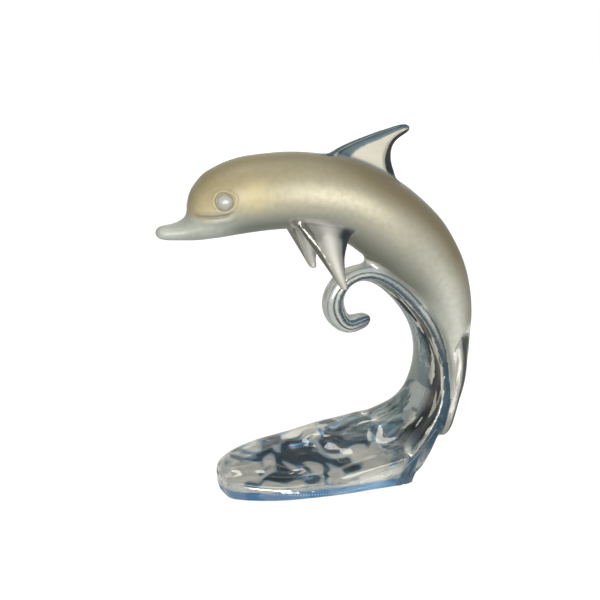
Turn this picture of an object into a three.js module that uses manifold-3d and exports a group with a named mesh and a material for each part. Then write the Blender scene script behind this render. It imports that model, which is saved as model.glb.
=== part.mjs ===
// A cast crystal sculpture: a dolphin leaping over a wave that curls up out of a mound of water.
// It is one solid. Millimetres, +Z up. X runs from the beak to the tail, and Y from the eye's side to the far side.
import * as THREE from "three";
import { mergeVertices } from "three/addons/utils/BufferGeometryUtils.js";
import Module from "manifold-3d";

const wasm = await Module();
wasm.setup();

// Driving dimensions. Each can be set by itself.
const HEIGHT = 164.5; // from the ground to the tip of the dorsal fin
const DOLPHIN_WIDTH = 32; // across the widest part of the body
const FIN_SPREAD = 40; // across the tips of the two pectoral fins
const FLUKE_SPREAD = 31; // across the two lobes of the tail
const CREST_WIDTH = 11; // across the curl of the wave
const BASE_LENGTH = 89; // the foot along X
const BASE_WIDTH = 46.5; // across the widest part of the mound
const FOOT_HEIGHT = 3; // the upright edge that the mound stands on
const FOOT_INSET = 0.9; // how far the foot stands back from the mound

// The pose, the proportions and the carving are free form, so the tables below hold shares.
// Places and thicknesses in the XZ plane are hundredths of HEIGHT, and widths are parts of the widths above.
const HUNDREDTH = HEIGHT / 100;
const HEEL_X = 30.6 * HUNDREDTH; // the end of the foot under the bend of the wave

// How finely the curved surfaces are cut.
const SIDES = { body: 26, beak: 16, fin: 14, ridge: 10, wave: 28, foot: 40 };
const STEPS = { body: 44, beak: 14, fin: 12, wave: 76 };

const ACROSS = new THREE.Vector3(0, 1, 0);

// Turns a geometry into a solid that can be joined and cut.
function solidOf(geometry) {
  const bare = geometry.clone();
  bare.deleteAttribute("normal");
  bare.deleteAttribute("uv");
  const merged = mergeVertices(bare, 1e-4);
  return new wasm.Manifold(
    new wasm.Mesh({
      numProp: 3,
      vertProperties: new Float32Array(merged.attributes.position.array),
      triVerts: new Uint32Array(merged.index.array),
    }),
  );
}

// A skin over rings of equally many points, closed at both ends by a fan about the end ring's middle.
function skin(rings) {
  const sides = rings[0].length;
  const middle = (ring) =>
    ring.reduce((sum, point) => sum.add(point), new THREE.Vector3()).divideScalar(sides);
  const points = [...rings.flat(), middle(rings[0]), middle(rings.at(-1))];
  const firstMiddle = points.length - 2;
  const lastMiddle = points.length - 1;
  const lastRing = (rings.length - 1) * sides;
  const faces = [];
  for (let side = 0; side < sides; side += 1) {
    const next = (side + 1) % sides;
    for (let low = 0; low < lastRing; low += sides) {
      const high = low + sides;
      faces.push(low + side, high + next, low + next);
      faces.push(low + side, high + side, high + next);
    }
    faces.push(firstMiddle, side, next);
    faces.push(lastMiddle, lastRing + next, lastRing + side);
  }
  const geometry = new THREE.BufferGeometry().setFromPoints(points);
  geometry.setIndex(faces);
  return geometry;
}

// A smooth reading of a table's rows at share t of the way through it.
function reader(rows) {
  const columns = rows[0].map((_, column) => {
    const points = rows.map((row, index) => new THREE.Vector3(index, row[column], 0));
    return new THREE.CatmullRomCurve3(points, false, "catmullrom", 0.5);
  });
  return (t) => columns.map((curve) => curve.getPoint(t).y);
}

// A form with oval sections. Each row holds two opposite edge points of a section, x y z and x y z, and half of
// the section's thickness in the direction called thin.
function ovals(rows, thin, steps, sides) {
  const read = reader(rows);
  const edges = (t) => {
    const row = read(t);
    const start = new THREE.Vector3(row[0], row[1], row[2]);
    const end = new THREE.Vector3(row[3], row[4], row[5]);
    const centre = start.clone().lerp(end, 0.5);
    return { centre, half: end.clone().sub(centre), thick: row[6] };
  };
  const along = edges(1).centre.sub(edges(0).centre);
  const turn = Math.sign(along.dot(edges(0.5).half.cross(thin)));
  const rings = [];
  for (let step = 0; step <= steps; step += 1) {
    const { centre, half, thick } = edges(step / steps);
    const ring = [];
    for (let side = 0; side < sides; side += 1) {
      const angle = (side / sides) * 2 * Math.PI;
      const point = centre.clone().addScaledVector(half, Math.cos(angle));
      ring.push(point.addScaledVector(thin, -turn * thick * Math.sin(angle)));
    }
    rings.push(ring);
  }
  return skin(rings);
}

// Belly x z, back x z, and the part of the body's width, from the brow to the root of the tail.
const BODY = [
  [-31.6, 79.4, -31.6, 80.0, 0.02],
  [-31.3, 76.5, -31.3, 83.0, 0.28],
  [-30.4, 74.3, -30.4, 85.9, 0.48],
  [-28.8, 73.0, -28.7, 88.2, 0.64],
  [-26.6, 72.6, -26.6, 90.2, 0.77],
  [-24.0, 72.6, -24.0, 91.5, 0.85],
  [-20.7, 72.9, -20.7, 92.8, 0.92],
  [-15.8, 73.3, -15.8, 93.9, 0.97],
  [-9.1, 73.6, -9.1, 94.3, 1.0],
  [-3.2, 73.4, -2.9, 94.3, 1.0],
  [2.4, 72.4, 5.0, 93.4, 1.0],
  [8.8, 70.5, 14.3, 91.1, 1.0],
  [13.8, 67.5, 22.5, 87.3, 0.99],
  [17.9, 64.3, 29.7, 82.9, 0.96],
  [23.1, 60.3, 36.7, 77.1, 0.92],
  [27.5, 56.0, 42.2, 71.3, 0.84],
  [31.3, 52.4, 46.5, 64.3, 0.74],
  [34.7, 48.5, 49.1, 58.3, 0.64],
  [37.7, 43.8, 50.8, 51.4, 0.55],
  [39.6, 39.6, 51.5, 44.2, 0.47],
  [40.9, 35.0, 51.1, 37.4, 0.42],
  [41.9, 30.4, 50.7, 31.2, 0.37],
  [41.7, 26.0, 49.4, 26.7, 0.3],
  [41.2, 21.5, 47.6, 22.2, 0.2],
];

// The same for the beak, from its tip into the head.
const BEAK = [
  [-40.7, 74.7, -40.7, 75.3, 0.05],
  [-40.3, 73.9, -40.4, 76.1, 0.17],
  [-39.3, 73.3, -39.4, 76.9, 0.27],
  [-37.4, 73.0, -37.6, 77.1, 0.33],
  [-35.0, 72.8, -35.3, 77.3, 0.38],
  [-32.2, 72.6, -32.8, 78.2, 0.46],
  [-29.2, 72.5, -30.4, 79.5, 0.58],
  [-25.5, 72.7, -27.4, 80.9, 0.68],
  [-21.9, 73.2, -23.7, 81.0, 0.66],
  [-18.0, 75.0, -19.0, 79.5, 0.4],
];

// Fore edge x z, rear edge x z and half the thickness, from inside the back to the tip.
const DORSAL_FIN = [
  [4.9, 90.0, 28.0, 79.0, 3.0],
  [9.4, 93.7, 27.3, 85.7, 2.1],
  [14.4, 95.9, 26.3, 89.1, 1.6],
  [18.8, 97.3, 26.1, 91.5, 1.4],
  [22.5, 98.4, 26.4, 93.6, 1.2],
  [25.5, 99.1, 27.5, 95.3, 1.1],
  [28.3, 99.8, 29.4, 96.5, 1.0],
  [30.7, 99.9, 31.2, 97.4, 0.8],
  [32.1, 99.3, 32.2, 98.5, 0.4],
];

// Fore edge x z, rear edge x z, the part of the spread and half the thickness, from inside the body to the tip.
const PECTORAL_FIN = [
  [-7.0, 79.6, 14.0, 75.4, 0.25, 2.8],
  [-4.6, 76.8, 12.2, 73.0, 0.52, 2.3],
  [-2.2, 73.0, 10.2, 70.1, 0.7, 1.9],
  [0.4, 69.0, 9.0, 67.0, 0.8, 1.6],
  [2.5, 65.7, 8.7, 64.1, 0.87, 1.4],
  [4.5, 62.5, 8.7, 61.2, 0.93, 1.2],
  [6.1, 59.8, 9.2, 59.0, 0.97, 1.0],
  [7.2, 58.1, 9.4, 57.5, 1, 0.6],
];

// One lobe of the tail, down the back of the wave: x z, the parts of the spread at its inner and outer edge,
// and half the thickness.
const LOBE = [
  [46.9, 40.1, -0.06, 0.3, 2.5],
  [47.2, 35.3, -0.06, 0.48, 2.5],
  [46.8, 30.4, -0.06, 0.65, 2.3],
  [45.6, 25.5, -0.06, 0.81, 2.1],
  [43.8, 20.7, -0.05, 0.94, 1.7],
  [42.5, 16.4, -0.03, 0.99, 1.5],
  [41.5, 13.4, 0.05, 0.98, 1.3],
  [40.8, 11.6, 0.19, 0.89, 1.0],
  [40.3, 10.3, 0.39, 0.71, 0.5],
];

// The mound: x from the heel in hundredths of BASE_LENGTH, z, half the thickness, the part of the crest's width
// and of what the mound is wider, how far the far edge is lifted, and how deep the top is troughed.
const MOUND = [
  [-100.0, 3.0, 1.2, 0.55, 0.0, 0.0, 0.0],
  [-99.2, 3.0, 3.3, 1, 0.22, 0.3, 0.0],
  [-96.0, 3.0, 4.8, 1, 0.41, 1.0, 0.0],
  [-86.8, 3.0, 5.7, 1, 0.66, 2.1, 0.4],
  [-73.4, 3.0, 6.1, 1, 0.88, 3.0, 0.7],
  [-55.4, 3.3, 6.6, 1, 0.98, 3.5, 1.1],
  [-38.2, 3.9, 7.1, 1, 1.0, 4.3, 1.5],
  [-23.2, 5.1, 6.9, 1, 0.92, 4.6, 1.8],
  [-9.5, 7.4, 6.3, 1, 0.79, 4.6, 2.1],
];

// The same from the bend up to the crest and round to the tip of the curl, with x in hundredths of HEIGHT.
const WAVE = [
  [30.4, 10.8, 5.1, 1, 0.68, 3.9, 2.1],
  [34.8, 15.2, 3.7, 1, 0.58, 2.9, 1.8],
  [37.7, 20.0, 3.1, 1, 0.5, 2.4, 1.8],
  [39.2, 25.7, 2.9, 1, 0.43, 1.9, 1.6],
  [39.5, 31.7, 2.9, 1, 0.37, 1.3, 1.3],
  [38.5, 37.8, 3.1, 1, 0.3, 0.7, 1.0],
  [36.5, 43.3, 3.3, 1, 0.21, 0.4, 0.6],
  [33.1, 48.7, 3.3, 1, 0.12, 0.1, 0.4],
  [28.8, 53.6, 3.2, 1, 0.06, 0.0, 0.2],
  [24.1, 57.1, 2.8, 1, 0.02, 0.0, 0.1],
  [19.9, 58.7, 2.5, 1, 0.0, 0.0, 0.1],
  [16.0, 58.6, 2.5, 1, 0.0, 0.0, 0.1],
  [12.6, 57.0, 2.7, 1, 0.0, 0.0, 0.1],
  [10.5, 54.2, 3.0, 0.98, 0, 0.0, 0.1],
  [9.7, 51.1, 3.2, 0.96, 0, 0.0, 0.1],
  [10.4, 48.1, 3.2, 0.93, 0, 0.0, 0.1],
  [12.1, 45.6, 2.7, 0.89, 0, 0.0, 0.1],
  [14.2, 44.5, 2.3, 0.86, 0, 0.0, 0.1],
  [16.8, 45.0, 2.3, 0.8, 0, 0.0, 0.1],
  [19.1, 45.5, 1.9, 0.66, 0, 0.0, 0.0],
  [20.8, 45.6, 0.7, 0.26, 0, 0.0, 0.0],
];

const along = (share) => share * HUNDREDTH;

// A form that is the same on both sides of the XZ plane, from rows of x z, x z and half the width in mm.
const upright = (rows, halfWidth, steps, sides) =>
  ovals(
    rows.map(([x1, z1, x2, z2, width]) => [
      along(x1), 0, along(z1), along(x2), 0, along(z2), halfWidth(width),
    ]),
    ACROSS,
    steps,
    sides,
  );

const bodyWidth = (part) => (part * DOLPHIN_WIDTH) / 2;
const body = () => upright(BODY, bodyWidth, STEPS.body, SIDES.body);
const beak = () => upright(BEAK, bodyWidth, STEPS.beak, SIDES.beak);
const dorsalFin = () => upright(DORSAL_FIN, along, STEPS.fin, SIDES.fin);

// The narrow ridge that runs along the back into the dorsal fin and out of it again, on the body's own rings.
function ridge() {
  const read = reader(BODY);
  const firstRing = 19;
  const lastRing = 32;
  const rise = 1.1;
  const sunk = 2.5;
  const halfWidth = 1;
  const rows = [];
  for (let ring = firstRing; ring <= lastRing; ring += 1) {
    const share = (ring - firstRing) / (lastRing - firstRing);
    const [bellyX, bellyZ, backX, backZ] = read(ring / STEPS.body);
    const out = new THREE.Vector2(backX - bellyX, backZ - bellyZ).normalize();
    const top = rise * (1 - 0.8 * share) * Math.sin(share * Math.PI) ** 0.5;
    rows.push([backX - out.x * sunk, backZ - out.y * sunk, backX + out.x * top, backZ + out.y * top, halfWidth]);
  }
  return upright(rows, along, lastRing - firstRing, SIDES.ridge);
}

// side is -1 for the fin on the eye's side and 1 for the far one, its mirror image.
function pectoralFin(side) {
  const reach = (side * FIN_SPREAD) / 2;
  const rows = PECTORAL_FIN.map(([x1, z1, x2, z2, out, half]) => [
    along(x1), out * reach, along(z1), along(x2), out * reach, along(z2), along(half),
  ]);
  const thin = new THREE.Vector3(0.15, side * 0.95, 0.3).normalize();
  return ovals(rows, thin, STEPS.fin, SIDES.fin);
}

function lobe(side) {
  const reach = (side * FLUKE_SPREAD) / 2;
  const rows = LOBE.map(([x, z, inner, outer, half]) => [
    along(x), inner * reach, along(z), along(x), outer * reach, along(z), along(half),
  ]);
  const thin = new THREE.Vector3(0.95, 0, -0.25).normalize();
  return ovals(rows, thin, STEPS.fin, SIDES.fin);
}

const softened = (value, power) => Math.sign(value) * Math.abs(value) ** power;

// The mound and the wave are one ribbon of water. Its sections are rounded oblongs, square to the ribbon's path,
// lifted at the far edge and troughed along the inner face.
function water() {
  const squareness = 0.72;
  const troughPlace = -0.25;
  const troughSpread = 0.38;
  const mound = MOUND.map(([share, ...rest]) => [HEEL_X + (share * BASE_LENGTH) / 100, ...rest]);
  const wave = WAVE.map(([x, ...rest]) => [along(x), ...rest]);
  const read = reader([...mound, ...wave]);
  const hair = 1e-3;
  const rings = [];
  for (let step = 0; step <= STEPS.wave; step += 1) {
    const t = step / STEPS.wave;
    const [x, z, thick, crest, spread, lift, trough] = read(t);
    const before = read(Math.max(t - hair, 0));
    const after = read(Math.min(t + hair, 1));
    const path = new THREE.Vector3(after[0] - before[0], 0, along(after[1] - before[1]));
    const inward = path.normalize().cross(ACROSS);
    const halfWidth = (crest * CREST_WIDTH + spread * (BASE_WIDTH - CREST_WIDTH)) / 2;
    const ring = [];
    for (let side = 0; side < SIDES.wave; side += 1) {
      const angle = (side / SIDES.wave) * 2 * Math.PI;
      const place = -softened(Math.cos(angle), squareness);
      const level = softened(Math.sin(angle), squareness);
      const dip = trough * Math.exp(-(((place - troughPlace) / troughSpread) ** 2)) * Math.max(level, 0);
      ring.push(
        new THREE.Vector3(x, place * halfWidth, along(z)).addScaledVector(
          inward,
          along(level * thick + place * lift - dip),
        ),
      );
    }
    rings.push(ring);
  }
  return skin(rings);
}

// The foot: an oblong with rounded ends on the ground, whose heel leans out and up under the bend of the wave.
function foot() {
  const roundness = { nose: 0.95, heel: 0.24 };
  const leanOut = 6.2;
  const leanUp = 9;
  const narrowing = 0.22;
  const half = BASE_LENGTH / 2 - FOOT_INSET;
  const halfWidth = BASE_WIDTH / 2 - FOOT_INSET;
  const middleX = HEEL_X - BASE_LENGTH / 2;
  const ground = [];
  const top = [];
  for (let side = 0; side < SIDES.foot; side += 1) {
    const angle = (side / SIDES.foot) * 2 * Math.PI;
    const power = Math.cos(angle) < 0 ? roundness.nose : roundness.heel;
    const place = softened(Math.cos(angle), power);
    const y = -softened(Math.sin(angle), power) * halfWidth;
    const heel = ((place + 1) / 2) ** 5;
    ground.push(new THREE.Vector3(middleX + place * half, y, 0));
    top.push(
      new THREE.Vector3(
        middleX + place * half + along(leanOut * heel),
        y * (1 - narrowing * heel),
        FOOT_HEIGHT + along(leanUp * heel),
      ),
    );
  }
  return skin([ground, top]);
}

// All that lies below the ground, to be cut away.
function below() {
  const slab = new THREE.BoxGeometry(4 * BASE_LENGTH, 4 * BASE_WIDTH, HEIGHT);
  return slab.translate(0, 0, -HEIGHT / 2);
}

const forms = [
  body(),
  beak(),
  dorsalFin(),
  ridge(),
  pectoralFin(-1),
  pectoralFin(1),
  lobe(-1),
  lobe(1),
  foot(),
];
const whole = forms.reduce((solid, form) => solid.add(solidOf(form)), solidOf(water()));
const cast = whole.subtract(solidOf(below()));

// The finished geometry, with the middle of its bounding box over the origin.
function finished(solid) {
  const mesh = solid.getMesh();
  const geometry = new THREE.BufferGeometry();
  geometry.setAttribute("position", new THREE.BufferAttribute(new Float32Array(mesh.vertProperties), 3));
  geometry.setIndex(new THREE.BufferAttribute(mesh.triVerts, 1));
  geometry.computeBoundingBox();
  const middle = geometry.boundingBox.getCenter(new THREE.Vector3());
  return geometry.translate(-middle.x, -middle.y, 0);
}

const crystal = new THREE.MeshStandardMaterial({ color: 0xcfd8d6, roughness: 0.1, metalness: 0 });
const sculpture = new THREE.Mesh(finished(cast), crystal);
sculpture.name = "crystal_dolphin";

const group = new THREE.Group();
group.add(sculpture);
export default group;
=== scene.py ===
# %% [markdown]
# A cast crystal sculpture: a satin dolphin that leaps over a clear, curling wave.
# The imported solid comes first. It gives the frame, in metres with Z up, and the box that the
# sculpture's measures are taken from. It gives the frame, in metres with Z up, and the box that the
# finished glass has to stay in. The view is the photograph's: a little above, and round to the left.

# %% The frame and the measures
import math
import bpy
import numpy as np
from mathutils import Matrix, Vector, noise
from mathutils.bvhtree import BVHTree


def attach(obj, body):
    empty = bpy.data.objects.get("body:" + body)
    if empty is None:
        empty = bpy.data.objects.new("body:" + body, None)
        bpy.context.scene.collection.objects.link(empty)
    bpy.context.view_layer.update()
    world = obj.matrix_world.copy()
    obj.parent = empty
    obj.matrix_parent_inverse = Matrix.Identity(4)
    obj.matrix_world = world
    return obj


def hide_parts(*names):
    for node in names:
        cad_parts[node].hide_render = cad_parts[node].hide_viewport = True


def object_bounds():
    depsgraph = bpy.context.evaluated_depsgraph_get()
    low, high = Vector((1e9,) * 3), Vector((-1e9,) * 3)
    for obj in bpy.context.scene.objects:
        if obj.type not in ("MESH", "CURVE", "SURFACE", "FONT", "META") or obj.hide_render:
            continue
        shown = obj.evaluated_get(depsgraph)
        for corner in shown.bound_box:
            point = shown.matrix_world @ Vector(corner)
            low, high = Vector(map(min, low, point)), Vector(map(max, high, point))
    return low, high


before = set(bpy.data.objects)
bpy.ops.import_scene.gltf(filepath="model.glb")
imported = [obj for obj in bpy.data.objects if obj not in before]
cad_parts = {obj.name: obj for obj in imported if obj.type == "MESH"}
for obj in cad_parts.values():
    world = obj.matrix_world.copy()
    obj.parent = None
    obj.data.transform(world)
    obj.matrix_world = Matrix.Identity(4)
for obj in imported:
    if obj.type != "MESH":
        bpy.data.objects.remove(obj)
cad_box = [list(corner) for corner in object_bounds()]
SCENE = bpy.context.scene
MM = 0.001

LOW, HIGH = (Vector(corner) for corner in cad_box)
HEIGHT = HIGH.z - LOW.z
HUNDREDTH = HEIGHT / 100
BEAK_TIP = -40.7
ORIGIN_X = LOW.x - BEAK_TIP * HUNDREDTH
BODY_WIDTH = 32 * MM
FIN_SPREAD = 40 * MM
FLUKE_SPREAD = 31 * MM
CREST_WIDTH = 11 * MM
BASE_LENGTH = 89 * MM
BASE_WIDTH = 46.5 * MM
FOOT_HEIGHT = 3 * MM
FOOT_INSET = 0.9 * MM
HEEL = 30.6
print("height", round(HEIGHT / MM, 1), "mm, one hundredth", round(HUNDREDTH / MM, 3), "mm")

# %% [markdown]
# The camera stands where the photographer stood: 20 degrees round towards the beak and 16 degrees
# up, with a long lens, so that the sculpture keeps its proportions.

# %% Camera
VIEW_AZIMUTH = math.radians(-20)
VIEW_HEIGHT = math.radians(16)
VIEW_DISTANCE = 0.8
VIEW_SPAN = 0.27
VIEW_TARGET = Vector((-9.2 * MM, 0, 87 * MM))
SENSOR = 36

toward_camera = Vector((
    math.sin(VIEW_AZIMUTH) * math.cos(VIEW_HEIGHT),
    -math.cos(VIEW_AZIMUTH) * math.cos(VIEW_HEIGHT),
    math.sin(VIEW_HEIGHT),
))
bpy.ops.object.camera_add(location=VIEW_TARGET + toward_camera * VIEW_DISTANCE)
camera = bpy.context.object
camera.name = "view"
camera.rotation_euler = toward_camera.to_track_quat("Z", "Y").to_euler()
camera.data.sensor_width = SENSOR
camera.data.lens = SENSOR * VIEW_DISTANCE / VIEW_SPAN
camera.data.clip_start = 0.01
SCENE.camera = camera
print("lens", round(camera.data.lens, 1), "mm")

# %% [markdown]
# Every free form here is a skin over oval sections, as a sculptor would set card sections on a wire.
# Each section is one row: the two ends of its long chord, in hundredths of the height, and its
# width. A smooth curve through the rows gives as many sections in between as the form needs.

# %% Reading a table of sections

def read(rows, share):
    """A smooth curve through each column of the rows, read at a share of the way down the table."""
    rows = np.asarray(rows, float)
    place = min(max(share, 0.0), 1.0) * (len(rows) - 1)
    row = min(int(place), len(rows) - 2)
    part = place - row
    start, end = rows[row], rows[row + 1]
    before = rows[row - 1] if row > 0 else 2 * start - end
    after = rows[row + 2] if row + 2 < len(rows) else 2 * end - start
    slope_in = (end - before) / 2
    slope_out = (after - start) / 2
    cube, square = part ** 3, part ** 2
    return ((2 * cube - 3 * square + 1) * start + (cube - 2 * square + part) * slope_in
            + (3 * square - 2 * cube) * end + (cube - square) * slope_out)


def at(x, z, y=0.0):
    """A place given in hundredths of the height, as a point in the frame."""
    return Vector((ORIGIN_X + x * HUNDREDTH, y, z * HUNDREDTH))


def at_mm(x, z, y=0.0):
    """A place given in millimetres from the same origin, as a point in the frame."""
    return Vector((ORIGIN_X + x * MM, y * MM, z * MM))


# %% [markdown]
# In Blender the first section is a circle, or an oblong with rounded corners for the thin fins. Each
# next one is extruded from the last, then turned upright, resized, turned to its own slant and moved
# on. A loop does by operator what a modeller would do by hand, and keeps the rings even.

# %% The oval skin, section by section
def deselect():
    if bpy.context.mode != "OBJECT":
        bpy.ops.object.mode_set(mode="OBJECT")
    bpy.ops.object.select_all(action="DESELECT")


def active(piece):
    deselect()
    piece.select_set(True)
    bpy.context.view_layer.objects.active = piece
    return piece


def section(centre, chord, width):
    """One oval section: its middle, half its chord in the XZ plane, and half its width along Y."""
    slant = math.atan2(chord.z, chord.x)
    return {"centre": centre, "half": chord.length, "slant": slant, "width": width}


def oval_skin(name, sections, sides, corner=None):
    """Extrudes a circle, or an oblong with rounded corners, from section to section."""
    deselect()
    first = sections[0]
    if corner is None:
        bpy.ops.mesh.primitive_circle_add(vertices=sides, radius=1, fill_type="NGON")
    else:
        bpy.ops.mesh.primitive_plane_add(size=2)
    piece = bpy.context.object
    piece.name = name
    bpy.ops.object.mode_set(mode="EDIT")
    if corner is not None:
        bpy.ops.mesh.bevel(offset=corner, offset_type="OFFSET", segments=sides, affect="VERTICES")
    bpy.ops.transform.resize(value=(first["half"], first["width"], 1))
    bpy.ops.transform.rotate(value=first["slant"], orient_axis="Y", center_override=(0, 0, 0))
    bpy.ops.transform.translate(value=first["centre"])
    for last, new in zip(sections, sections[1:]):
        centre = last["centre"]
        bpy.ops.mesh.extrude_region_move()
        bpy.ops.transform.rotate(value=-last["slant"], orient_axis="Y", center_override=centre)
        bpy.ops.transform.resize(
            value=(new["half"] / last["half"], new["width"] / last["width"], 1), center_override=centre
        )
        bpy.ops.transform.rotate(value=new["slant"], orient_axis="Y", center_override=centre)
        bpy.ops.transform.translate(value=new["centre"] - centre)
    bpy.ops.mesh.select_all(action="SELECT")
    bpy.ops.mesh.normals_make_consistent(inside=False)
    deselect()
    print(name, len(sections), "sections,", len(piece.data.vertices), "points")
    return piece


def upright_sections(rows, half_width, steps):
    """Sections of a form that is the same on both sides of the XZ plane."""
    sections = []
    for step in range(steps + 1):
        x1, z1, x2, z2, width = read(rows, step / steps)
        start, end = at(x1, z1), at(x2, z2)
        sections.append(section((start + end) / 2, (end - start) / 2, half_width(width)))
    return sections


def share_of_body(width):
    """Half a width that is given as a share of the body's."""
    return width * BODY_WIDTH / 2


def hundredths(value):
    return value * HUNDREDTH


# %% [markdown]
# The body and the long beak are one flowing form on the real sculpture, from the melon of the head
# down to the root of the tail. Each is skinned with many more sections than its table has rows, so
# that no facet shows in glass.

# %% Body and beak
BODY = [  # belly x z, back x z, share of the body's width
    [-31.6, 79.4, -31.6, 80.0, 0.02],
    [-31.3, 76.5, -31.3, 83.0, 0.28],
    [-30.4, 74.3, -30.4, 85.9, 0.48],
    [-28.8, 73.0, -28.7, 88.2, 0.64],
    [-26.6, 72.6, -26.6, 90.2, 0.77],
    [-24.0, 72.6, -24.0, 91.5, 0.85],
    [-20.7, 72.9, -20.7, 92.8, 0.92],
    [-15.8, 73.3, -15.8, 93.9, 0.97],
    [-9.1, 73.6, -9.1, 94.3, 1.0],
    [-3.2, 73.4, -2.9, 94.3, 1.0],
    [2.4, 72.4, 5.0, 93.4, 1.0],
    [8.8, 70.5, 14.3, 91.1, 1.0],
    [13.8, 67.5, 22.5, 87.3, 0.99],
    [17.9, 64.3, 29.7, 82.9, 0.96],
    [23.1, 60.3, 36.7, 77.1, 0.92],
    [27.5, 56.0, 42.2, 71.3, 0.84],
    [31.3, 52.4, 46.5, 64.3, 0.74],
    [34.7, 48.5, 49.1, 58.3, 0.64],
    [37.7, 43.8, 50.8, 51.4, 0.55],
    [39.6, 39.6, 51.5, 44.2, 0.47],
    [40.9, 35.0, 51.1, 37.4, 0.42],
    [41.9, 30.4, 50.7, 31.2, 0.37],
    [41.7, 26.0, 49.4, 26.7, 0.3],
    [41.2, 21.5, 47.6, 22.2, 0.2],
]
BEAK = [
    [-40.7, 74.7, -40.7, 75.3, 0.05],
    [-40.3, 73.9, -40.4, 76.1, 0.17],
    [-39.3, 73.3, -39.4, 76.9, 0.27],
    [-37.4, 73.0, -37.6, 77.1, 0.33],
    [-35.0, 72.8, -35.3, 77.3, 0.38],
    [-32.2, 72.6, -32.8, 78.2, 0.46],
    [-29.2, 72.5, -30.4, 79.5, 0.58],
    [-25.5, 72.7, -27.4, 80.9, 0.68],
    [-21.9, 73.2, -23.7, 81.0, 0.66],
    [-18.0, 75.0, -19.0, 79.5, 0.4],
]
dolphin_body = oval_skin("body", upright_sections(BODY, share_of_body, steps=92), sides=48)
beak = oval_skin("beak", upright_sections(BEAK, share_of_body, steps=30), sides=32)

# %% [markdown]
# The dorsal fin is a thin blade, so its sections are oblongs with rounded corners: an oval would
# leave its edges sharp, and a cast edge is never sharp.

# %% Dorsal fin
DORSAL_FIN = [  # fore edge x z, rear edge x z, half the thickness
    [4.9, 90.0, 28.0, 79.0, 3.0],
    [9.4, 93.7, 27.3, 85.7, 2.1],
    [14.4, 95.9, 26.3, 89.1, 1.6],
    [18.8, 97.3, 26.1, 91.5, 1.4],
    [22.5, 98.4, 26.4, 93.6, 1.2],
    [25.5, 99.1, 27.5, 95.3, 1.1],
    [28.3, 99.8, 29.4, 96.5, 1.0],
    [30.7, 99.9, 31.2, 97.4, 0.8],
    [32.1, 99.3, 32.2, 98.5, 0.4],
]
FIN_CORNER = 0.45
CORNER_STEPS = 7
dorsal_fin_sections = upright_sections(DORSAL_FIN, hundredths, steps=28)
dorsal_fin = oval_skin("dorsal_fin", dorsal_fin_sections, CORNER_STEPS, FIN_CORNER)

# %% [markdown]
# A polished ridge runs along the back, into the dorsal fin and out of it again. It follows the
# body's own sections, so its rows are read from the body's table and stand a little proud of it.

# %% Ridge along the back
RIDGE_START = 19 / 44
RIDGE_END = 32 / 44
RIDGE_RISE = 1.1
RIDGE_FALL = 0.8
RIDGE_SUNK = 2.5
RIDGE_HALF_WIDTH = 1.0


def ridge_rows(count):
    """Rows of the ridge, read off the back of the body and let down to nothing at both ends."""
    rows = []
    for step in range(count + 1):
        share = step / count
        x1, z1, x2, z2, _ = read(BODY, RIDGE_START + share * (RIDGE_END - RIDGE_START))
        out = Vector((x2 - x1, z2 - z1)).normalized()
        arch = math.sin(math.pi * share) ** 0.5 if 0 < share < 1 else 0
        top = RIDGE_RISE * (1 - RIDGE_FALL * share) * arch
        low = [x2 - out.x * RIDGE_SUNK, z2 - out.y * RIDGE_SUNK]
        rows.append(low + [x2 + out.x * top, z2 + out.y * top, RIDGE_HALF_WIDTH])
    return rows


ridge = oval_skin("ridge", upright_sections(ridge_rows(26), hundredths, steps=52), sides=20)

# %% [markdown]
# The two pectoral fins hang outwards and back, and the lobes of the tail lie down the back of the
# wave. Their sections move sideways as they go, so each is made for one side and then for the other.

# %% Pectoral fins and tail lobes
PECTORAL_FIN = [  # fore edge x z, rear edge x z, half the thickness, share of the fins' spread
    [-7.0, 79.6, 14.0, 75.4, 2.8, 0.25],
    [-4.6, 76.8, 12.2, 73.0, 2.3, 0.52],
    [-2.2, 73.0, 10.2, 70.1, 1.9, 0.7],
    [0.4, 69.0, 9.0, 67.0, 1.6, 0.8],
    [2.5, 65.7, 8.7, 64.1, 1.4, 0.87],
    [4.5, 62.5, 8.7, 61.2, 1.2, 0.93],
    [6.1, 59.8, 9.2, 59.0, 1.0, 0.97],
    [7.2, 58.1, 9.4, 57.5, 0.6, 1.0],
]
LOBE = [  # x z, shares of the flukes' spread at the inner and the outer edge, half the thickness
    [46.9, 40.1, -0.06, 0.3, 2.5],
    [47.2, 35.3, -0.06, 0.48, 2.5],
    [46.8, 30.4, -0.06, 0.65, 2.3],
    [45.6, 25.5, -0.06, 0.81, 2.1],
    [43.8, 20.7, -0.05, 0.94, 1.7],
    [42.5, 16.4, -0.03, 0.99, 1.5],
    [41.5, 13.4, 0.05, 0.98, 1.3],
    [40.8, 11.6, 0.19, 0.89, 1.0],
    [40.3, 10.3, 0.39, 0.71, 0.5],
]
LOBE_SLANT = Vector((0.95, 0, -0.25)).normalized()


def pectoral_sections(side, steps):
    sections = []
    for step in range(steps + 1):
        x1, z1, x2, z2, half, out = read(PECTORAL_FIN, step / steps)
        y = side * out * FIN_SPREAD / 2
        start, end = at(x1, z1, y), at(x2, z2, y)
        sections.append(section((start + end) / 2, (end - start) / 2, hundredths(half)))
    return sections


def lobe_sections(side, steps):
    sections = []
    for step in range(steps + 1):
        x, z, inner, outer, half = read(LOBE, step / steps)
        y = side * (inner + outer) / 2 * FLUKE_SPREAD / 2
        width = (outer - inner) / 2 * FLUKE_SPREAD / 2
        sections.append(section(at(x, z, y), LOBE_SLANT * hundredths(half), width))
    return sections


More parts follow.
